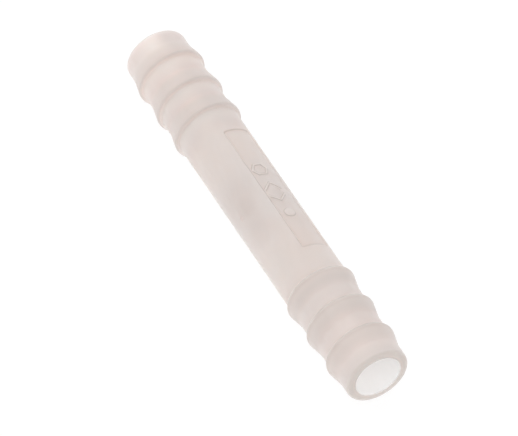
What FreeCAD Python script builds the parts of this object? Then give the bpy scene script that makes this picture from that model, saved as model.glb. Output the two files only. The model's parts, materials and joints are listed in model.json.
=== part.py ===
import FreeCAD, Part
import math
import os
import Sketcher

# A straight barbed joiner for two soft hoses, moulded in one piece from natural polypropylene.
# Millimetres. The tube lies along X with its middle at the origin, and +Z is up.
# Each end has three barbs: a hose slides up their ramps, and their catch faces hold it.
# An azimuth is an angle around the tube, counted from +Z towards +Y.

DIMENSIONS = [
    # the tube
    ("overall_length", 57.1),
    ("tube_diameter", 8.0),
    ("bore_diameter", 5.8),
    ("tip_rounding", 0.4),
    ("mouth_rounding", 0.1),
    # the barbs, placed by the middle of each crest
    ("barb_count", 3),
    ("barb_pitch", 4.82),
    ("tip_to_crest", 4.4),
    ("crest_diameter", 8.9),
    ("crest_land", 0.3),
    ("catch_angle", 60.0),
    ("ramp_angle", 12.0),
    ("crest_rounding", 0.35),
    ("catch_foot_rounding", 0.3),
    ("ramp_foot_rounding", 1.5),
    ("barb_root_depth", 0.3),
    # the label panel, sunk into the middle of the tube, and the plain marks that stand in it
    ("panel_azimuth", 26.5),
    ("panel_angle", 56.0),
    ("panel_length", 20.4),
    ("panel_depth", 0.15),
    ("mark_azimuth", 17.5),
    ("mark_relief", 0.11),
    ("mark_root_depth", 0.4),
    ("mark_stroke", 0.28),
    ("mark_height", 2.25),
    ("hexagon_centre", -3.2),
    ("chevron_width", 1.5),
    ("left_chevron_centre", -0.3),
    ("right_chevron_centre", 1.7),
    ("dot_centre", 4.4),
    ("dot_diameter", 1.4),
    # the stub that the moulding gate leaves on the parting line
    ("gate_azimuth", -63.5),
    ("gate_centre", 1.3),
    ("gate_diameter", 0.6),
    ("gate_height", 0.06),
    # how far a cut reaches past the surface that it starts from
    ("cut_clearance", 0.8),
]

TUBE_RADIUS = "dims.tube_diameter / 2"
BORE_RADIUS = "dims.bore_diameter / 2"
CREST_RADIUS = "dims.crest_diameter / 2"
PANEL_RADIUS = f"({TUBE_RADIUS} - dims.panel_depth)"
NODE = "connector_body"
CLOSE = 1e-6

document = FreeCAD.newDocument("hose_joiner")


def add_sheet():
    sheet = document.addObject("Spreadsheet::Sheet", "dims")
    for row, (name, value) in enumerate(DIMENSIONS, start=1):
        sheet.set(f"A{row}", name)
        sheet.set(f"B{row}", str(value))
        sheet.setAlias(f"B{row}", name)
    document.recompute()
    return sheet


def origin_feature(body, role):
    return next(feature for feature in body.Origin.OriginFeatures if feature.Role == role)


def turned(azimuth, height=0.0):
    """Turn a plane about X from azimuth 0 and lift it along its own normal."""
    turn = FreeCAD.Rotation(FreeCAD.Vector(1, 0, 0), -azimuth)
    return FreeCAD.Placement(turn.multVec(FreeCAD.Vector(0, 0, height)), turn)


def add_sketch(body, name, plane, offset=None):
    sketch = body.newObject("Sketcher::SketchObject", name)
    sketch.AttachmentSupport = [(origin_feature(body, plane), "")]
    sketch.MapMode = "FlatFace"
    if offset:
        sketch.AttachmentOffset = offset
    return sketch


def bind(sketch, constraint, name, expression):
    index = sketch.addConstraint(constraint)
    sketch.renameConstraint(index, name)
    sketch.setExpression(f"Constraints.{name}", expression)


def add_outline(sketch, name, corners):
    """Draw a closed run of lines. Each corner is an x and a y expression, and y is None on the X axis."""
    count = len(corners)
    start = [FreeCAD.Rotation(360 * i / count, 0, 0).multVec(FreeCAD.Vector(5, 1, 0)) for i in range(count)]
    lines = [
        sketch.addGeometry(Part.LineSegment(start[i], start[(i + 1) % count]), False) for i in range(count)
    ]
    for i, (x, y) in enumerate(corners):
        sketch.addConstraint(Sketcher.Constraint("Coincident", lines[i], 2, lines[(i + 1) % count], 1))
        along = Sketcher.Constraint("DistanceX", -1, 1, lines[i], 1, start[i].x)
        bind(sketch, along, f"{name}_x{i}", x)
        if y is None:
            sketch.addConstraint(Sketcher.Constraint("PointOnObject", lines[i], 1, -1))
            continue
        across = Sketcher.Constraint("DistanceY", -1, 1, lines[i], 1, start[i].y)
        bind(sketch, across, f"{name}_y{i}", y)


def add_disc(sketch, name, centre, diameter):
    circle = Part.Circle(FreeCAD.Vector(2, 0, 0), FreeCAD.Vector(0, 0, 1), 1)
    index = sketch.addGeometry(circle, False)
    sketch.addConstraint(Sketcher.Constraint("PointOnObject", index, 3, -1))
    bind(sketch, Sketcher.Constraint("DistanceX", -1, 1, index, 3, 2), f"{name}_centre", centre)
    bind(sketch, Sketcher.Constraint("Diameter", index, 2), f"{name}_diameter", diameter)


def rectangle(left, right, low, high):
    return [(left, low), (right, low), (right, high), (left, high)]


def revolve(body, kind, name, sketch, angle="360"):
    """Turn a sketch about X, half the angle each way."""
    feature = body.newObject(kind, name)
    feature.Profile = sketch
    feature.ReferenceAxis = (sketch, ["H_Axis"])
    feature.Midplane = True
    feature.setExpression("Angle", angle)
    return feature


def add_tube(body):
    sketch = add_sketch(body, "tube_outline", "XZ_Plane")
    half = "dims.overall_length / 2"
    add_outline(sketch, "tube", rectangle(f"-{half}", half, BORE_RADIUS, TUBE_RADIUS))
    return revolve(body, "PartDesign::Revolution", "tube", sketch)


def add_barbs(body):
    """Turn the outermost barb at the +X end, repeat it towards the middle and mirror the three."""
    sketch = add_sketch(body, "barb_outline", "XZ_Plane")
    root = f"{TUBE_RADIUS} - dims.barb_root_depth"
    rise = f"({CREST_RADIUS} - {TUBE_RADIUS} + dims.barb_root_depth)"
    crest = "dims.overall_length / 2 - dims.tip_to_crest"
    catch_side = f"{crest} - dims.crest_land / 2"
    ramp_side = f"{crest} + dims.crest_land / 2"
    corners = [
        (f"{catch_side} - {rise} / tan(dims.catch_angle)", root),
        (f"{ramp_side} + {rise} / tan(dims.ramp_angle)", root),
        (ramp_side, CREST_RADIUS),
        (catch_side, CREST_RADIUS),
    ]
    add_outline(sketch, "barb", corners)
    barb = revolve(body, "PartDesign::Revolution", "outermost_barb", sketch)

    row = document.addObject("PartDesign::LinearPattern", "barb_row")
    row.Direction = (origin_feature(body, "X_Axis"), [""])
    row.Reversed = True
    row.setExpression("Length", "dims.barb_pitch * (dims.barb_count - 1)")
    row.setExpression("Occurrences", "dims.barb_count")
    other_end = document.addObject("PartDesign::Mirrored", "other_end")
    other_end.MirrorPlane = (origin_feature(body, "YZ_Plane"), [""])

    barbs = document.addObject("PartDesign::MultiTransform", "barbs")
    body.addObject(barbs)
    barbs.Originals = [barb]
    body.addObject(row)
    body.addObject(other_end)
    barbs.Transformations = [row, other_end]
    body.Tip = barbs
    return barbs


def rings(shape, radius, places=None):
    """Name the round edges about X of one radius, at these distances from the middle if any are given."""
    names = []
    for index, edge in enumerate(shape.Edges, start=1):
        curve = edge.Curve
        if not isinstance(curve, Part.Circle) or abs(curve.Radius - radius) > CLOSE:
            continue
        if math.hypot(curve.Center.y, curve.Center.z) > CLOSE:
            continue
        if places is None or any(abs(abs(curve.Center.x) - place) < CLOSE for place in places):
            names.append(f"Edge{index}")
    return names


def add_fillet(body, name, edges):
    """Round these edges of the last feature by the size of the same name."""
    before = body.Tip
    fillet = body.newObject("PartDesign::Fillet", name)
    fillet.Base = (before, edges)
    fillet.setExpression("Radius", f"dims.{name}")
    document.recompute()


def round_edges(body, sheet):
    """Round the crests, the feet of both barb faces, the tips and the mouths of the bore."""
    tube = sheet.tube_diameter / 2
    crest = sheet.crest_diameter / 2
    half = sheet.overall_length / 2
    crests = [half - sheet.tip_to_crest - i * sheet.barb_pitch for i in range(sheet.barb_count)]
    catch_run = (crest - tube) / math.tan(math.radians(sheet.catch_angle))
    ramp_run = (crest - tube) / math.tan(math.radians(sheet.ramp_angle))
    catch_feet = [place - sheet.crest_land / 2 - catch_run for place in crests]
    ramp_feet = [place + sheet.crest_land / 2 + ramp_run for place in crests]

    document.recompute()
    add_fillet(body, "crest_rounding", rings(body.Tip.Shape, crest))
    add_fillet(body, "catch_foot_rounding", rings(body.Tip.Shape, tube, catch_feet))
    add_fillet(body, "ramp_foot_rounding", rings(body.Tip.Shape, tube, ramp_feet))
    add_fillet(body, "tip_rounding", rings(body.Tip.Shape, tube, [half]))
    add_fillet(body, "mouth_rounding", rings(body.Tip.Shape, sheet.bore_diameter / 2, [half]))


def add_panel(body, sheet):
    """Sink the label panel's floor, which keeps the tube's curve."""
    sketch = add_sketch(body, "panel_outline", "XZ_Plane", turned(sheet.panel_azimuth))
    outside = f"{TUBE_RADIUS} + dims.cut_clearance"
    half = "dims.panel_length / 2"
    add_outline(sketch, "panel", rectangle(f"-{half}", half, PANEL_RADIUS, outside))
    revolve(body, "PartDesign::Groove", "label_panel", sketch, "dims.panel_angle")


def hexagon(across):
    """A hexagon on two corners, by the expression for its height."""
    side = f"{across} / 4 * sqrt(3)"
    left = f"dims.hexagon_centre - {side}"
    right = f"dims.hexagon_centre + {side}"
    middle = "dims.hexagon_centre"
    tall = f"{across} / 2"
    short = f"{across} / 4"
    return [
        (middle, f"-{tall}"),
        (right, f"-{short}"),
        (right, short),
        (middle, tall),
        (left, short),
        (left, f"-{short}"),
    ]


def chevron(centre, side):
    """A chevron whose point is on the X axis, to the left for side "-" and to the right for "+"."""
    other = "+" if side == "-" else "-"
    tall = "dims.mark_height / 2"
    stroke = "dims.mark_stroke * sqrt(2)"
    point = f"{centre} {side} dims.chevron_width / 2"
    back = f"{centre} {other} dims.chevron_width / 2"
    return [
        (point, None),
        (f"{back} {side} {stroke}", tall),
        (back, tall),
        (f"{point} {other} {stroke}", None),
        (back, f"-{tall}"),
        (f"{back} {side} {stroke}", f"-{tall}"),
    ]


def add_marks(body, sheet):
    """Stand a hexagon, two chevrons and a dot in the panel, and turn their tops to the tube's curve."""
    root = sheet.tube_diameter / 2 - sheet.panel_depth - sheet.mark_root_depth
    sketch = add_sketch(body, "mark_outlines", "XY_Plane", turned(sheet.mark_azimuth, root))
    add_outline(sketch, "hexagon", hexagon("dims.mark_height"))
    add_outline(sketch, "hexagon_hole", hexagon("(dims.mark_height - 4 / sqrt(3) * dims.mark_stroke)"))
    add_outline(sketch, "left_chevron", chevron("dims.left_chevron_centre", "-"))
    add_outline(sketch, "right_chevron", chevron("dims.right_chevron_centre", "+"))
    add_disc(sketch, "dot", "dims.dot_centre", "dims.dot_diameter")
    marks = body.newObject("PartDesign::Pad", "marks")
    marks.Profile = sketch
    marks.setExpression("Length", "dims.mark_root_depth + dims.panel_depth + dims.cut_clearance / 2")

    trim = add_sketch(body, "mark_top_outline", "XZ_Plane", turned(sheet.panel_azimuth))
    half = "dims.panel_length / 2"
    top = f"{PANEL_RADIUS} + dims.mark_relief"
    outside = f"{TUBE_RADIUS} + dims.cut_clearance"
    add_outline(trim, "mark_top", rectangle(f"-{half}", half, top, outside))
    revolve(body, "PartDesign::Groove", "mark_tops", trim, "dims.panel_angle")


def add_gate_stub(body, sheet):
    root = sheet.tube_diameter / 2 - sheet.mark_root_depth
    sketch = add_sketch(body, "gate_outline", "XY_Plane", turned(sheet.gate_azimuth, root))
    add_disc(sketch, "gate", "dims.gate_centre", "dims.gate_diameter")
    stub = body.newObject("PartDesign::Pad", "gate_stub")
    stub.Profile = sketch
    stub.setExpression("Length", "dims.mark_root_depth + dims.gate_height")


def build_connector(sheet):
    body = document.addObject("PartDesign::Body", NODE)
    body.Label = NODE
    add_tube(body)
    add_barbs(body)
    round_edges(body, sheet)
    add_panel(body, sheet)
    add_marks(body, sheet)
    add_gate_stub(body, sheet)
    body.Placement = FreeCAD.Placement()
    document.recompute()
    return body


def check(body):
    """Stop if a feature failed, cut or added nothing, or left anything but one sound solid."""
    for thing in document.Objects:
        if "Invalid" in thing.State or "Error" in thing.State:
            raise RuntimeError(f"{thing.Name} failed: {thing.State}")
    if body.Shape.isNull() or not body.Shape.isValid() or len(body.Shape.Solids) != 1:
        raise RuntimeError(f"{body.Label} isn't one valid solid")
    shaped = [thing for thing in body.Group if thing.isDerivedFrom("PartDesign::Feature")]
    last = None
    for thing in shaped:
        if thing.Name in ("barb_row", "other_end"):
            continue
        volume = thing.Shape.Volume
        if last is not None and abs(volume - last) < CLOSE:
            raise RuntimeError(f"{thing.Name} changed nothing")
        print(f"{thing.Name}: {volume:.3f} mm3")
        last = volume


sheet = add_sheet()
connector = build_connector(sheet)
check(connector)
os.makedirs("parts", exist_ok=True)
connector.Shape.exportStep(f"parts/{connector.Label}.step")
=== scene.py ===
"""A straight hose joiner, moulded in one piece from milky natural polypropylene, on a pale floor.

Metres, in the frame of the CAD part: the tube lies along X with its middle at the origin, +Z is up.
Shapes are worked out in millimetres and scaled once, when the mesh is made. An azimuth is an angle
around the tube in degrees, counted from +Z towards +Y.
"""

import json
import math

import bpy
import numpy as np
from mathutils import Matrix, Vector


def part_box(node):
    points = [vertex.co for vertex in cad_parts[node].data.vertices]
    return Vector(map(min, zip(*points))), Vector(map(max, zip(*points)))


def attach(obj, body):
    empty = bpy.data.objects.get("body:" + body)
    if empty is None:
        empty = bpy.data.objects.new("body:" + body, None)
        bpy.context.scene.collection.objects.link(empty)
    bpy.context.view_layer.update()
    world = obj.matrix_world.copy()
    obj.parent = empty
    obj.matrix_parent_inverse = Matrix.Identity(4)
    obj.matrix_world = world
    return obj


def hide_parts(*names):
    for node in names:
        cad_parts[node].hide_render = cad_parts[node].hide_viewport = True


MM = 0.001

# The barbs, as in part.py. Overall length and the radii come from the frame.
BARB_COUNT = 3
BARB_PITCH = 4.82
TIP_TO_CREST = 4.4
CREST_LAND = 0.3
CATCH_ANGLE = 60.0
RAMP_ANGLE = 12.0
CREST_ROUNDING = 0.35
CATCH_FOOT_ROUNDING = 0.3
RAMP_FOOT_ROUNDING = 1.5
TIP_ROUNDING = 0.4
MOUTH_ROUNDING = 0.1

# The label panel and its plain marks
PANEL_AZIMUTH = 26.5
PANEL_ANGLE = 56.0
PANEL_LENGTH = 20.4
PANEL_DEPTH = 0.15
PANEL_EDGE = 0.13
PANEL_CORNER = 0.25
MARK_AZIMUTH = 17.5
MARK_RELIEF = 0.11
MARK_EDGE = 0.16
MARK_STROKE = 0.28
MARK_HEIGHT = 2.25
HEXAGON_CENTRE = -3.2
CHEVRON_WIDTH = 1.5
LEFT_CHEVRON_CENTRE = -0.3
RIGHT_CHEVRON_CENTRE = 1.7
DOT_CENTRE = 4.4
DOT_DIAMETER = 1.4
MARKS_SIDE = 1.2  # radians from the marks' middle, past which there are none
OFF_THE_MARKS = 99.0

# The gate stub and the parting line that it stands on
GATE_AZIMUTH = -63.5
GATE_CENTRE = 1.3
GATE_DIAMETER = 0.6
GATE_HEIGHT = 0.06
GATE_EDGE = 0.12
PARTING_AZIMUTHS = (GATE_AZIMUTH, GATE_AZIMUTH + 180.0)
PARTING_HEIGHT = 0.007
PARTING_WIDTH = 0.16

# How finely the surface is divided, in millimetres along X: from the middle to MARKS_REACH, on to the
# first barb with a station on each side of the panel's end, along the barbs, and in the bore
FINE_X = 0.068
END_X = 0.08
BARB_X = 0.4
BORE_X = 2.0
MARKS_REACH = 5.4
PANEL_END_MARGIN = 0.4

# The same in degrees around the tube, fine within these margins of the gate stub, the panel's long
# edges, the marks' middle and the far parting line
FINE_TURN = 0.9
PLAIN_TURN = 4.0
GATE_MARGIN = 6.0
EDGE_MARGIN = 3.0
MARKS_MARGIN = 19.0
PARTING_MARGIN = 2.0
ARC_STEPS = 3

# Where painted shade and painted light go on the plastic. A pair is for the +X end and the -X end.
CREST_SPREAD = 0.58
CATCH_LEE = 0.6
LEE_REACH = 2.6
LIP_STARTS = (-0.05, 0.25)
LIP_SHADES = (0.34, 0.33)
RIDGE_SHADES = (1.0, 0.45)
PANEL_END_SHADE = 0.5
RIM_AZIMUTH = 5.0
RIM_BELOW = 0.68
MARK_SHADE = 1.0
PANEL_SHADE = 0.65
OUTER_SHADE = 0.3
GATE_SHADE = 0.25
GATE_SIDE = -60.0
NO_STEP = 1e-4
VERY_FAR = 1e9

# The camera, from the object's middle
CAMERA_AZIMUTH = 62.53
CAMERA_ELEVATION = 49.11
CAMERA_DISTANCE = 0.5929
CAMERA_LENS = 347.5
CAMERA_RIGHT = -0.000562
CAMERA_UP = -0.000839


def smooth_step(value, edge):
    """0 below -edge/2, 1 above edge/2, with an S curve between."""
    t = np.clip(value / edge + 0.5, 0.0, 1.0)
    return t * t * (3.0 - 2.0 * t)


def unit(vector):
    return vector / np.hypot(*vector)


def rounded(corners):
    """Replace each corner (x, r, rounding) of an open run of lines with its arc."""
    places = [np.array(corner[:2], dtype=float) for corner in corners]
    run = [places[0]]
    for before, here, after, corner in zip(places, places[1:], places[2:], corners[1:]):
        rounding = corner[2]
        arriving = unit(here - before)
        leaving = unit(after - here)
        turn = math.acos(float(np.clip(arriving @ leaving, -1.0, 1.0)))
        side = unit(leaving - (arriving @ leaving) * arriving)
        start = here - arriving * rounding * math.tan(turn / 2)
        steps = max(2, round(ARC_STEPS * turn / math.radians(30)))
        for step in range(steps + 1):
            angle = turn * step / steps
            run.append(start + rounding * (math.sin(angle) * arriving + (1 - math.cos(angle)) * side))
    run.append(places[-1])
    return run


def divide(run, spacing):
    """Put more points on the straight stretches of a run, each as close as spacing asks anywhere on it."""
    points = [run[0]]
    for here, after in zip(run, run[1:]):
        x = np.linspace(here[0], after[0], 40)
        limit = min(spacing(value, here[1]) for value in x)
        length = float(np.hypot(*(after - here)))
        if length < 1e-9:
            continue
        count = max(1, math.ceil(length / limit - 1e-6))
        points += [here + (after - here) * k / count for k in range(1, count + 1)]
    return points


def outline(half, tube, crest, bore):
    """The section's closed run in (x, r): outside from -X to +X, then back through the bore."""
    rise = crest - tube
    catch_run = rise / math.tan(math.radians(CATCH_ANGLE))
    ramp_run = rise / math.tan(math.radians(RAMP_ANGLE))
    right = []
    for i in reversed(range(BARB_COUNT)):
        place = half - TIP_TO_CREST - i * BARB_PITCH
        right += [
            (place - CREST_LAND / 2 - catch_run, tube, CATCH_FOOT_ROUNDING),
            (place - CREST_LAND / 2, crest, CREST_ROUNDING),
            (place + CREST_LAND / 2, crest, CREST_ROUNDING),
            (place + CREST_LAND / 2 + ramp_run, tube, RAMP_FOOT_ROUNDING),
        ]
    right += [(half, tube, TIP_ROUNDING), (half, bore, MOUTH_ROUNDING), (0.0, bore, 0.0)]
    panel_end = PANEL_LENGTH / 2
    stations = [0.0, MARKS_REACH, panel_end - PANEL_END_MARGIN, panel_end + PANEL_END_MARGIN]
    middle = [np.array([station, tube]) for station in stations]
    barbs_and_bore = rounded([(0.0, tube, 0.0)] + right)[1:]

    def spacing(x, r):
        if r < tube - TIP_ROUNDING:
            return BORE_X
        if x < MARKS_REACH:
            return FINE_X
        return END_X if x <= stations[-1] else BARB_X

    right_side = divide(middle + barbs_and_bore, spacing)
    left_side = [np.array([-x, r]) for x, r in reversed(right_side)]
    return np.array(left_side[:-1] + right_side[:-1])


def add_turns(stops, turns):
    """Azimuths from stop to stop, each stretch divided by its own step."""
    columns = []
    for start, end, step in zip(stops, stops[1:], turns):
        count = max(1, math.ceil((end - start) / step - 1e-6))
        columns += [start + (end - start) * k / count for k in range(count)]
    return np.array(columns)


def around():
    """The azimuth columns: fine at the gate, the marks, the panel's long edges and the parting line."""
    low = PANEL_AZIMUTH - PANEL_ANGLE / 2
    high = PANEL_AZIMUTH + PANEL_ANGLE / 2
    gate, far = PARTING_AZIMUTHS
    fine = [
        (gate - GATE_MARGIN, gate + GATE_MARGIN),
        (low - EDGE_MARGIN, MARK_AZIMUTH + MARKS_MARGIN),
        (high - EDGE_MARGIN, high + EDGE_MARGIN),
        (far - PARTING_MARGIN, far + PARTING_MARGIN),
    ]
    stops = [azimuth for stretch in fine for azimuth in stretch] + [fine[0][0] + 360.0]
    return add_turns(stops, [FINE_TURN, PLAIN_TURN] * len(fine))


def polygon_distance(x, y, corners):
    """Signed distance to a polygon, negative inside."""
    nearest = np.full(x.shape, 1e9)
    inside = np.zeros(x.shape, dtype=bool)
    for (ax, ay), (bx, by) in zip(corners, corners[1:] + corners[:1]):
        ex, ey = bx - ax, by - ay
        t = np.clip(((x - ax) * ex + (y - ay) * ey) / (ex * ex + ey * ey), 0.0, 1.0)
        nearest = np.minimum(nearest, np.hypot(x - ax - t * ex, y - ay - t * ey))
        if ay != by:
            crosses = (ay > y) != (by > y)
            inside ^= crosses & (x < ex * (y - ay) / ey + ax)
    return np.where(inside, -nearest, nearest)


def hexagon(across):
    tall, short, side = across / 2, across / 4, across / 4 * math.sqrt(3)
    corners = [(0, -tall), (side, -short), (side, short), (0, tall), (-side, short), (-side, -short)]
    return [(HEXAGON_CENTRE + x, y) for x, y in corners]


def chevron(centre, side):
    """A chevron that points along side, 1 or -1."""
    tall = MARK_HEIGHT / 2
    stroke = MARK_STROKE * math.sqrt(2) * side
    point = centre + side * CHEVRON_WIDTH / 2
    back = centre - side * CHEVRON_WIDTH / 2
    return [
        (point, 0.0),
        (back + stroke, tall),
        (back, tall),
        (point - stroke, 0.0),
        (back, -tall),
        (back + stroke, -tall),
    ]


def panel_inset(x, from_panel, tube):
    """Distance inside the panel's rounded outline, negative outside."""
    half_x = PANEL_LENGTH / 2 - PANEL_CORNER
    half_arc = math.radians(PANEL_ANGLE / 2) * tube - PANEL_CORNER
    dx = np.abs(x) - half_x
    dy = np.abs(np.radians(from_panel) * tube) - half_arc
    outside = np.hypot(np.maximum(dx, 0), np.maximum(dy, 0))
    return PANEL_CORNER - outside - np.minimum(np.maximum(dx, dy), 0)


def mark_inset(x, y):
    """Distance inside the nearest mark, negative outside."""
    ring_hole = hexagon(MARK_HEIGHT - 4 / math.sqrt(3) * MARK_STROKE)
    ring = np.maximum(
        polygon_distance(x, y, hexagon(MARK_HEIGHT)), -polygon_distance(x, y, ring_hole)
    )
    left = polygon_distance(x, y, chevron(LEFT_CHEVRON_CENTRE, -1))
    right = polygon_distance(x, y, chevron(RIGHT_CHEVRON_CENTRE, 1))
    dot = np.hypot(x - DOT_CENTRE, y) - DOT_DIAMETER / 2
    return -np.minimum.reduce([ring, left, right, dot])


def turn_between(azimuth, other):
    return (azimuth - other + 180.0) % 360.0 - 180.0


def relief(x, azimuth, tube):
    """How far the outside stands off its round profile: panel, marks, gate stub and parting line."""
    panel = smooth_step(panel_inset(x, turn_between(azimuth, PANEL_AZIMUTH), tube), PANEL_EDGE)
    from_marks = np.radians(turn_between(azimuth, MARK_AZIMUTH))
    flat = (tube - PANEL_DEPTH) * np.sin(from_marks)
    across = np.where(np.abs(from_marks) < MARKS_SIDE, flat, OFF_THE_MARKS)
    marks = smooth_step(mark_inset(x, across), MARK_EDGE)
    height = -PANEL_DEPTH * panel + MARK_RELIEF * marks

    from_gate = np.radians(turn_between(azimuth, GATE_AZIMUTH)) * tube
    stub = GATE_DIAMETER / 2 - np.hypot(x - GATE_CENTRE, from_gate)
    height += GATE_HEIGHT * smooth_step(stub, GATE_EDGE)
    for place in PARTING_AZIMUTHS:
        off = np.radians(turn_between(azimuth, place)) * tube
        height += PARTING_HEIGHT * np.exp(-((off / (PARTING_WIDTH / 2)) ** 2))
    return height


def is_outside(r, tube):
    """1 on the tube and the barbs, 0 on the tips' roundings, the end faces and in the bore."""
    return (r >= tube - 1e-6).astype(float)


def lee_of_barbs(distance, half, rise):
    """Where painted light goes: CATCH_LEE on the catch faces, and 1 falling to 0 over LEE_REACH of the
    tube behind them.
    """
    lee_light = np.zeros(distance.shape)
    for i in range(BARB_COUNT):
        side = half - TIP_TO_CREST - i * BARB_PITCH - CREST_LAND / 2
        foot = side - rise / math.tan(math.radians(CATCH_ANGLE))
        on_tube = np.clip(1 - (foot - distance) / LEE_REACH, 0.0, 1.0)
        behind = np.where(distance < foot, on_tube, CATCH_LEE)
        lee_light = np.maximum(lee_light, np.where(distance < side, behind, 0.0))
    return lee_light


def slope_of(lift, x, turn, tube):
    """How steeply the relief rises or falls at each point."""
    down, across = np.gradient(lift)
    step_x = np.gradient(x, axis=0)
    step_x = np.where(np.abs(step_x) < NO_STEP, VERY_FAR, step_x)
    step_turn = np.gradient(np.radians(turn), axis=1) * tube
    step_turn = np.where(step_turn < NO_STEP, VERY_FAR, step_turn)
    return np.hypot(down / step_x, across / step_turn)


def edge_strengths(from_panel, inset):
    """How much painted shade a step's edge gets: the marks most, then the panel's edges, then the gate
    stub.
    """
    outer_edge = from_panel > PANEL_ANGLE / 2 - EDGE_MARGIN
    strength = np.where(inset > 2 * PANEL_EDGE, MARK_SHADE, np.where(outer_edge, OUTER_SHADE, PANEL_SHADE))
    return np.where(from_panel < GATE_SIDE, GATE_SHADE, strength)


def shading_layers(x, r, turn, lift, half, tube, crest, bore):
    """What the material needs to know at each point, mostly from 0 to 1, by the layer's name."""
    outside = is_outside(r, tube)
    height = (r - tube) / (crest - tube)
    near_end = x > 0
    ahead = np.roll(x, -1, axis=0) - np.roll(x, 1, axis=0)
    rise = np.roll(r, -1, axis=0) - np.roll(r, 1, axis=0)
    rise /= np.hypot(ahead, rise)
    facing = np.abs(rise)
    inward = np.sign(x) * rise

    # the wall's thickness over the plain tube's, negative where the panel thins it
    wall = np.clip((r + lift - tube) / (crest - tube), -1.0, 1.0) * outside
    wall = np.where(wall > 0, np.abs(wall) ** CREST_SPREAD, wall)

    # the end faces, with painted shade, the bore, with painted light and deeper scatter, and the mouth's
    # rim, with painted shade that is darker above
    at_tip = (np.abs(x) > half - TIP_ROUNDING - 0.01) & (r > bore + 0.3 * MOUTH_ROUNDING)
    end = smooth_step(facing - 0.3, 0.5) * at_tip
    inner = smooth_step(bore + MOUTH_ROUNDING - r, MOUTH_ROUNDING)
    rim_shade = smooth_step(facing - 0.3, 0.4) * smooth_step(bore + 2 * MOUTH_ROUNDING - r, 2.5 * MOUTH_ROUNDING)
    above = np.clip(np.cos(np.radians(turn - RIM_AZIMUTH)), 0.0, 1.0)
    rim_shade *= RIM_BELOW + (1 - RIM_BELOW) * above

    # painted shade on the barbs' lips, painted light in the lee behind those at -X, and painted shade on
    # the crests and at the panel's +X end
    lip_start = np.where(near_end, *LIP_STARTS)
    lip_shade = smooth_step(inward - lip_start, 0.4) * smooth_step(height - 0.5, 0.5)
    lip_shade *= np.where(near_end, *LIP_SHADES)
    lee_light = lee_of_barbs(-x, half, crest - tube) * outside * (1 - lip_shade)
    from_panel = turn_between(turn, PANEL_AZIMUTH)
    inset = panel_inset(x, from_panel, tube)
    panel_end = np.clip(1 - (PANEL_LENGTH / 2 - x) / PANEL_END_SHADE, 0.0, 1.0) * (inset > 0)
    ridge = smooth_step(height - 0.85, 0.36) * np.where(near_end, *RIDGE_SHADES)
    shade = np.maximum(panel_end, ridge) * outside

    # painted shade along the steps' edges: the marks, the panel and the gate stub
    step_shade = np.clip(slope_of(lift, x, turn, tube), 0, 1.5) * edge_strengths(from_panel, inset)
    return {
        "wall": wall,
        "end": end,
        "inner": inner,
        "lip_shade": lip_shade,
        "lee_light": lee_light,
        "shade": shade,
        "rim_shade": rim_shade,
        "step_shade": step_shade,
    }


def make_mesh(name, half, tube, crest, bore):
    section = outline(half, tube, crest, bore)
    azimuth = around()
    rows, columns = len(section), len(azimuth)
    x = np.repeat(section[:, :1], columns, axis=1)
    r = np.repeat(section[:, 1:], columns, axis=1)
    turn = np.repeat(azimuth[None, :], rows, axis=0)
    lift = relief(x, turn, tube) * is_outside(r, tube)
    angle = np.radians(turn)
    points = np.stack([x, (r + lift) * np.sin(angle), (r + lift) * np.cos(angle)], axis=-1)

    i = np.arange(rows)[:, None]
    j = np.arange(columns)[None, :]
    ahead, beside = (i + 1) % rows, (j + 1) % columns
    faces = np.stack(
        [i * columns + j, ahead * columns + j, ahead * columns + beside, i * columns + beside], axis=-1
    )
    mesh = bpy.data.meshes.new(name)
    mesh.from_pydata((points.reshape(-1, 3) * MM).tolist(), [], faces.reshape(-1, 4).tolist())
    mesh.shade_smooth()

    for key, value in shading_layers(x, r, turn, lift, half, tube, crest, bore).items():
        layer = mesh.attributes.new(key, "FLOAT", "POINT")
        layer.data.foreach_set("value", value.reshape(-1).astype(np.float32))
    mesh.update()
    return mesh


# ---------------------------------------------------------------- materials


def node(tree, kind, **settings):
    made = tree.nodes.new(kind)
    for key, value in settings.items():
        setattr(made, key, value)
    return made


def math_node(tree, operation, first, second=None, clamp=False):
    made = node(tree, "ShaderNodeMath", operation=operation, use_clamp=clamp)
    for socket, value in zip(made.inputs, (first, second)):
        if value is None:
            continue
        if isinstance(value, (int, float)):
            socket.default_value = value
        else:
            tree.links.new(value, socket)
    return made.outputs[0]


def noise(tree, coordinates, scale, detail=2.0, roughness=0.5):
    made = node(tree, "ShaderNodeTexNoise")
    made.inputs["Scale"].default_value = scale
    made.inputs["Detail"].default_value = detail
    made.inputs["Roughness"].default_value = roughness
    tree.links.new(coordinates, made.inputs["Vector"])
    return made.outputs["Fac"]


def spread(tree, value, low, high, to_low, to_high):
    made = node(tree, "ShaderNodeMapRange", interpolation_type="SMOOTHSTEP")
    tree.links.new(value, made.inputs["Value"])
    for key, number in (("From Min", low), ("From Max", high), ("To Min", to_low), ("To Max", to_high)):
        made.inputs[key].default_value = number
    return made.outputs["Result"]


def blend_colour(tree, amount, first, second, mode="MIX"):
    made = node(tree, "ShaderNodeMix", data_type="RGBA", blend_type=mode)
    for socket, value in ((made.inputs[0], amount), (made.inputs[6], first), (made.inputs[7], second)):
        if isinstance(value, (int, float, tuple)):
            socket.default_value = value
        else:
            tree.links.new(value, socket)
    return made.outputs[2]


def near(tree, coordinates, place, inner, outer):
    """1 within inner of a place on the part, falling to 0 at outer, both in metres."""
    made = node(tree, "ShaderNodeVectorMath", operation="DISTANCE")
    tree.links.new(coordinates, made.inputs[0])
    made.inputs[1].default_value = place
    return spread(tree, made.outputs["Value"], inner, outer, 1.0, 0.0)


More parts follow.
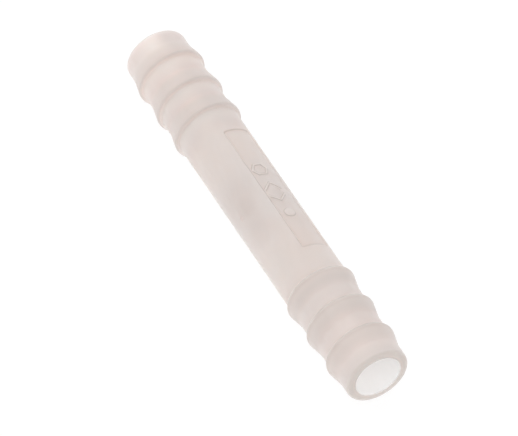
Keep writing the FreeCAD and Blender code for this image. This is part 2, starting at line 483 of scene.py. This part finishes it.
BODY_COLOUR = (0.92, 0.735, 0.675, 1)
CLOUD_COLOUR = (0.93, 0.755, 0.7, 1)
# Painted shade: greyer and darker in the middle and towards the +X end
GREY_SHADE_COLOUR = (0.74, 0.70, 0.675, 1)
# Painted shade on the +X tip
NEAR_TIP_SHADE_COLOUR = (0.55, 0.46, 0.42, 1)
# Painted light on the -X tip
FAR_TIP_LIGHT_COLOUR = (0.93, 0.86, 0.81, 1)
# Painted shade on the tube's sides along the barbs and at the -X tip
SIDE_SHADE_COLOUR = (0.6, 0.56, 0.55, 1)
# Painted shade on the barbs' crests, where the wall is thicker
CREST_SHADE_COLOUR = (0.67, 0.617, 0.583, 1)
# Painted light in the lee of the -X barbs
LEE_LIGHT_COLOUR = (0.965, 0.805, 0.75, 1)
# Painted shade on the barbs' lips
LIP_SHADE_COLOUR = (0.4, 0.36, 0.34, 1)
# Painted shade on the end faces
END_FACE_SHADE_COLOUR = (0.66, 0.59, 0.55, 1)
# Painted light in the bore
BORE_LIGHT_COLOUR = (1.0, 0.82, 0.735, 1)
# Painted shade on the ridges, the panel's +X end, the mouth's rim and the steps' edges
PAINTED_SHADE_COLOUR = (0.5, 0.42, 0.38, 1)
DARK_PATCH_COLOUR = (0.5, 0.42, 0.38, 1)
GATE_COLOUR = (0.62, 0.34, 0.28, 1)

# How the painted shade and painted light change along the tube: from and to in millimetres of X, and the
# amount at each
MIDDLE_SHADE_STARTS = (-9.0, -2.0, 0.0, 0.45)
MIDDLE_SHADE_ENDS = (1.5, 9.0, 1.0, 0.0)
NEAR_BARBS_SHADE = (12.0, 17.0, 0.0, 0.4)
NEAR_TIP_GREY_SHADE = (25.0, 28.3, 0.0, 0.4)
NEAR_TIP = (26.0, 28.6, 0.0, 0.35)
FAR_TIP_STARTS = (-28.0, -26.4, 0.1, 0.52)
FAR_TIP_ENDS = (-26.2, -24.2, 1.0, 0.0)
SIDE_SHADE_FAR_BARBS = (-13.0, -9.0, 0.28, 0.0)
SIDE_SHADE_NEAR_BARBS = (17.0, 22.0, 0.0, 0.15)
SIDE_SHADE_FAR_TIP = (-28.0, -24.0, 0.2, 0.0)

# The painted shade of the sides across it, in millimetres of Y
SIDE_SHADE_BEFORE = (-3.6, -1.2, 1.0, 0.0)
SIDE_SHADE_BEHIND = (-1.2, 1.0, 0.0, 1.3)

# Darker cloudy places: X, azimuth, reach and strength
DARK_PATCHES = (
    (0.8, -44.5, 2.2, 0.16),
    (2.6, -47.0, 3.0, 0.1),
    (4.7, -50.0, 3.4, 0.12),
    (-1.0, -54.0, 5.0, 0.14),
    (1.8, 26.0, 3.0, 0.1),
    (8.0, 27.0, 5.5, 0.08),
)

# How strongly the layers tint it, in this order
CREST_TINT = 0.6
BARB_TINTS = (("lee_light", 0.8, LEE_LIGHT_COLOUR), ("shade", 0.35, PAINTED_SHADE_COLOUR), ("lip_shade", 0.7, LIP_SHADE_COLOUR))
RIM_TINT = 0.95
STEP_TINT = 0.8
GATE_TINT = 0.18
FULL_WALL = 0.8
PANEL_WALL = -0.33
GENTLE_SLOPE = 0.12
GATE_SPOT = (0.1, 0.5)

# Its cloudiness, the patches of more and less gloss, and the satin grain, whose depth is in millimetres
CLOUD_SCALE = 260.0
PATCH_SCALE = 700.0
ROUGHNESS = (0.38, 0.5)
GRAIN_SCALE = 5200.0
GRAIN_STRENGTH = 0.12
GRAIN_DEPTH = 0.02

# How far the light scatters, in millimetres, and how far less in the panel's thinner wall
SCATTER = 3.0
BORE_SCATTER = 20.0
THIN_WALL_SCATTER = -0.55

# The sky's strength by direction, its brightest point, and the floor that glows a little
SKY_BEHIND = 1.0
SKY_AHEAD = 0.35
SKY_SIDE = 0.735
SKY_TOP = 1.365
SKY_TOP_EDGE = 0.4
LIGHT_DIRECTION = (0.0, -0.139, 0.99)
FLOOR_HALF_SIZE = 20.0
FLOOR_GREY = 0.15
FLOOR_GLOW = 0.88


def attribute(tree, name):
    """A layer that shading_layers made."""
    return node(tree, "ShaderNodeAttribute", attribute_name=name).outputs["Fac"]


def grade(tree, coordinate, change):
    """An amount that changes along a coordinate, as one of the rows above says."""
    start, end, at_start, at_end = change
    return spread(tree, coordinate, start * MM, end * MM, at_start, at_end)


def tint(tree, colour, amount, strength, towards):
    """Blend a colour towards another one by an amount from 0 to 1, up to a strength."""
    return blend_colour(tree, spread(tree, amount, 0.0, 1.0, 0.0, strength), colour, towards)


def on_tube(x, azimuth, tube):
    """A place on the outside of the tube, in metres."""
    turn = math.radians(azimuth)
    return (x * MM, tube * MM * math.sin(turn), tube * MM * math.cos(turn))


def tint_along(tree, colour, place):
    """The painted shade and painted light that change slowly from end to end and from side to side."""
    parts = node(tree, "ShaderNodeSeparateXYZ")
    tree.links.new(place, parts.inputs[0])
    along, across = parts.outputs["X"], parts.outputs["Y"]

    # painted shade: greyer and darker in the middle, along the +X barbs and at the +X tip
    starts, ends = grade(tree, along, MIDDLE_SHADE_STARTS), grade(tree, along, MIDDLE_SHADE_ENDS)
    grey_shade = math_node(tree, "MULTIPLY", starts, ends)
    grey_shade = math_node(tree, "ADD", grey_shade, grade(tree, along, NEAR_BARBS_SHADE))
    grey_shade = math_node(tree, "ADD", grey_shade, grade(tree, along, NEAR_TIP_GREY_SHADE))
    colour = blend_colour(tree, grey_shade, colour, GREY_SHADE_COLOUR)
    # painted shade on the +X tip
    colour = blend_colour(tree, grade(tree, along, NEAR_TIP), colour, NEAR_TIP_SHADE_COLOUR)
    # painted light on the -X tip
    starts, ends = grade(tree, along, FAR_TIP_STARTS), grade(tree, along, FAR_TIP_ENDS)
    colour = blend_colour(tree, math_node(tree, "MULTIPLY", starts, ends), colour, FAR_TIP_LIGHT_COLOUR)

    # painted shade on the sides along the barbs and at the -X tip
    barbs = math_node(tree, "ADD", grade(tree, along, SIDE_SHADE_FAR_BARBS), grade(tree, along, SIDE_SHADE_NEAR_BARBS))
    barbs = math_node(tree, "ADD", barbs, grade(tree, along, SIDE_SHADE_FAR_TIP))
    sides = math_node(tree, "ADD", grade(tree, across, SIDE_SHADE_BEFORE), grade(tree, across, SIDE_SHADE_BEHIND))
    return blend_colour(tree, math_node(tree, "MULTIPLY", barbs, sides), colour, SIDE_SHADE_COLOUR)


def tint_features(tree, colour, place, tube):
    """The painted shade and painted light on the barbs, the ends, the bore and the steps' edges, then the
    darker patches and the gate's spot.
    """
    # painted shade on the barbs' crests, growing with the wall's thickness
    crest = spread(tree, attribute(tree, "wall"), 0.0, FULL_WALL, 0.0, CREST_TINT)
    colour = blend_colour(tree, crest, colour, CREST_SHADE_COLOUR)
    # painted light in the lee of the -X barbs, painted shade on the ridges, at the panel's +X end and on
    # the lips
    for name, strength, towards in BARB_TINTS:
        colour = tint(tree, colour, attribute(tree, name), strength, towards)
    # painted shade on the end faces and painted light in the bore
    colour = blend_colour(tree, attribute(tree, "end"), colour, END_FACE_SHADE_COLOUR)
    colour = blend_colour(tree, attribute(tree, "inner"), colour, BORE_LIGHT_COLOUR)
    # painted shade on the mouth's rim and along the steps' edges
    colour = tint(tree, colour, attribute(tree, "rim_shade"), RIM_TINT, PAINTED_SHADE_COLOUR)
    edge = spread(tree, attribute(tree, "step_shade"), GENTLE_SLOPE, 1.0, 0.0, STEP_TINT)
    colour = blend_colour(tree, edge, colour, PAINTED_SHADE_COLOUR)
    for x, azimuth, reach, strength in DARK_PATCHES:
        dark_patch = near(tree, place, on_tube(x, azimuth, tube), 0.0, reach * MM)
        colour = tint(tree, colour, dark_patch, strength, DARK_PATCH_COLOUR)
    inner, outer = GATE_SPOT
    gate = near(tree, place, on_tube(GATE_CENTRE, GATE_AZIMUTH, tube), inner * MM, outer * MM)
    return tint(tree, colour, gate, GATE_TINT, GATE_COLOUR)


def scatter_depth(tree):
    """How far the light scatters: deepest in the bore, least in the panel."""
    depth = spread(tree, attribute(tree, "inner"), 0.0, 1.0, SCATTER * MM, BORE_SCATTER * MM)
    thinner = spread(tree, attribute(tree, "wall"), PANEL_WALL, 0.0, THIN_WALL_SCATTER * MM, 0.0)
    return math_node(tree, "ADD", depth, thinner)


def polypropylene(tube):
    material = bpy.data.materials.new("natural_polypropylene_milky")
    material.use_nodes = True
    tree = material.node_tree
    tree.nodes.clear()
    shader = node(tree, "ShaderNodeBsdfPrincipled")
    output = node(tree, "ShaderNodeOutputMaterial")
    tree.links.new(shader.outputs["BSDF"], output.inputs["Surface"])
    place = node(tree, "ShaderNodeTexCoord").outputs["Object"]

    clouds = noise(tree, place, CLOUD_SCALE, 3.0)
    colour = blend_colour(tree, spread(tree, clouds, 0.3, 0.7, 0.0, 1.0), BODY_COLOUR, CLOUD_COLOUR)
    colour = tint_along(tree, colour, place)
    colour = tint_features(tree, colour, place, tube)
    tree.links.new(colour, shader.inputs["Base Color"])

    shader.inputs["Subsurface Weight"].default_value = 1.0
    shader.inputs["Subsurface Radius"].default_value = (1.0, 1.0, 1.0)
    tree.links.new(scatter_depth(tree), shader.inputs["Subsurface Scale"])
    shader.inputs["IOR"].default_value = 1.49

    patches = noise(tree, place, PATCH_SCALE, 3.0)
    tree.links.new(spread(tree, patches, 0.3, 0.7, *ROUGHNESS), shader.inputs["Roughness"])

    grain = noise(tree, place, GRAIN_SCALE, 2.0)
    bump = node(tree, "ShaderNodeBump")
    bump.inputs["Strength"].default_value = GRAIN_STRENGTH
    bump.inputs["Distance"].default_value = GRAIN_DEPTH * MM
    tree.links.new(grain, bump.inputs["Height"])
    tree.links.new(bump.outputs["Normal"], shader.inputs["Normal"])
    return material


def floor_material():
    material = bpy.data.materials.new("pale_floor")
    material.use_nodes = True
    tree = material.node_tree
    shader = tree.nodes["Principled BSDF"]
    shader.inputs["Base Color"].default_value = (FLOOR_GREY, FLOOR_GREY, FLOOR_GREY, 1)
    shader.inputs["Roughness"].default_value = 0.9
    shader.inputs["Emission Color"].default_value = (1, 1, 1, 1)
    shader.inputs["Emission Strength"].default_value = FLOOR_GLOW
    material.cycles.emission_sampling = "NONE"
    return material


# ---------------------------------------------------------------- stage


def add_floor(height):
    size = FLOOR_HALF_SIZE
    corners = [(-size, -size, height), (size, -size, height), (size, size, height), (-size, size, height)]
    mesh = bpy.data.meshes.new("floor")
    mesh.from_pydata(corners, [], [(0, 1, 2, 3)])
    mesh.materials.append(floor_material())
    floor = bpy.data.objects.new("floor", mesh)
    bpy.context.scene.collection.objects.link(floor)


def light_stage():
    world = bpy.data.worlds.new("studio")
    bpy.context.scene.world = world
    world.use_nodes = True
    tree = world.node_tree
    background = tree.nodes["Background"]
    background.inputs["Color"].default_value = (1, 1, 1, 1)
    direction = node(tree, "ShaderNodeSeparateXYZ")
    generated = node(tree, "ShaderNodeTexCoord").outputs["Generated"]
    tree.links.new(generated, direction.inputs[0])
    along = spread(tree, direction.outputs["X"], 0.0, 1.0, SKY_BEHIND, SKY_AHEAD)
    toward = node(tree, "ShaderNodeVectorMath", operation="DOT_PRODUCT")
    tree.links.new(generated, toward.inputs[0])
    toward.inputs[1].default_value = LIGHT_DIRECTION
    lamp = spread(tree, toward.outputs["Value"], SKY_TOP_EDGE, 1.0, SKY_SIDE, SKY_TOP)
    strength = math_node(tree, "MULTIPLY", along, lamp)
    tree.links.new(strength, background.inputs["Strength"])
    bpy.context.scene.view_settings.view_transform = "Standard"


def add_camera(middle):
    azimuth, elevation = math.radians(CAMERA_AZIMUTH), math.radians(CAMERA_ELEVATION)
    back = Vector(
        (
            math.sin(azimuth) * math.cos(elevation),
            -math.cos(azimuth) * math.cos(elevation),
            math.sin(elevation),
        )
    )
    turn = (-back).to_track_quat("-Z", "Y")
    lens = bpy.data.cameras.new("camera")
    lens.lens = CAMERA_LENS
    lens.clip_start = 0.01
    lens.clip_end = 100.0
    camera = bpy.data.objects.new("camera", lens)
    camera.rotation_mode = "QUATERNION"
    camera.rotation_quaternion = turn
    camera.location = middle + back * CAMERA_DISTANCE + turn @ Vector((CAMERA_RIGHT, CAMERA_UP, 0))
    bpy.context.scene.collection.objects.link(camera)
    bpy.context.scene.camera = camera


def mount(record, name):
    return next(entry for entry in record["mounts"] if entry["name"] == name)


def add_joiner(record):
    low, high = (Vector(corner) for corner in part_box("connector_body"))
    half = (high.x - low.x) / 2 / MM
    tube = mount(record, "hose_stem_a")["dims"]["r_mm"]
    crest = mount(record, "barb_crests")["dims"]["r_mm"]
    bore = mount(record, "flow_bore")["dims"]["r_mm"]
    mesh = make_mesh("joiner_moulding", half, tube, crest, bore)
    mesh.materials.append(polypropylene(tube))
    joiner = bpy.data.objects.new("joiner_moulding", mesh)
    bpy.context.scene.collection.objects.link(joiner)
    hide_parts("connector_body")
    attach(joiner, "root")
    return (low + high) / 2, low.z


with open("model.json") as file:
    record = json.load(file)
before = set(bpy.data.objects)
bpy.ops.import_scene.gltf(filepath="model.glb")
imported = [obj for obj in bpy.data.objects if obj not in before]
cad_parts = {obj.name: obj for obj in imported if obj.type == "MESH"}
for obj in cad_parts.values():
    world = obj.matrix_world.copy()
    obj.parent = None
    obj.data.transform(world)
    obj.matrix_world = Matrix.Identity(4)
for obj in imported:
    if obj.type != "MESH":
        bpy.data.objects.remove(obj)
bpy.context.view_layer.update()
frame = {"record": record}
middle, lowest = add_joiner(frame["record"])
add_floor(lowest)
light_stage()
add_camera(middle)
